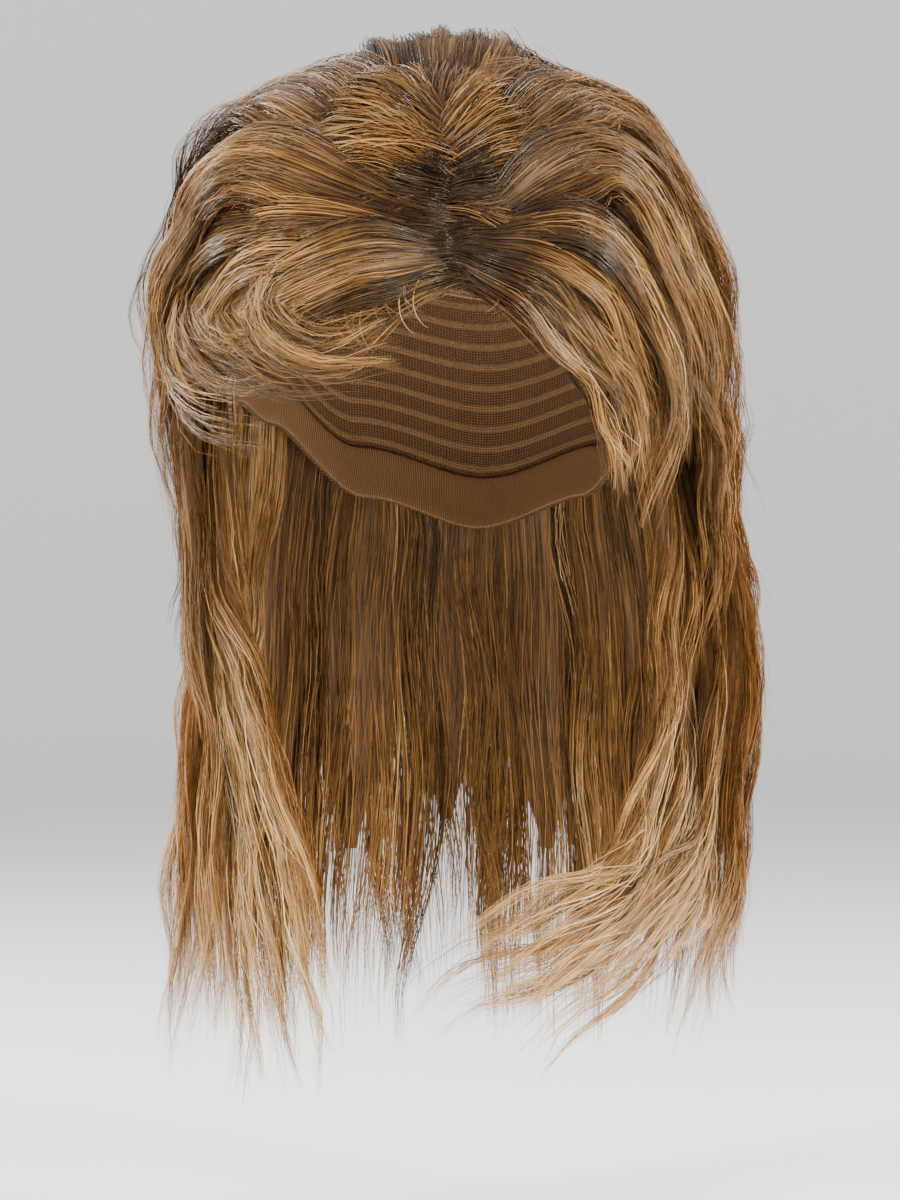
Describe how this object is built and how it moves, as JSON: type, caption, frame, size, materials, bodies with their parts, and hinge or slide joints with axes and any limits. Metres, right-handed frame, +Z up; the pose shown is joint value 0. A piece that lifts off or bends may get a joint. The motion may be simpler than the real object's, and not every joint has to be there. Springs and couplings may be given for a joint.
{
  "type": "mullet wig",
  "caption": "Mullet wig on a stretch cap: teased crown, fringe swept from a parting, feathered sides over the ears and long tails past the shoulders.",
  "frame": {"origin": "inside top of the cap, where it bears on the crown of the head", "axes": "+Z up, -Y the way the wearer faces, +X the wearer's left"},
  "size_m": [0.2245, 0.2464, 0.3953],
  "materials": {
    "hair": "glossy golden light-brown synthetic fibre",
    "underhair": "teased fibre, darker at the roots",
    "cap_net": "brown stretch net",
    "binding": "brown elastic binding"
  },
  "bodies": {
    "root": {"cap": "cap_net", "rim_band": "binding", "underhair": "underhair", "crown_right": "hair", "crown_left": "hair", "wing_right": "hair", "wing_left": "hair", "fringe_right": "hair", "fringe_left": "hair", "layer_right": "hair", "layer_left": "hair", "layer_back": "hair", "tail_right": "hair", "tail_left": "hair", "tail_back": "hair"}
  },
  "joints": []
}
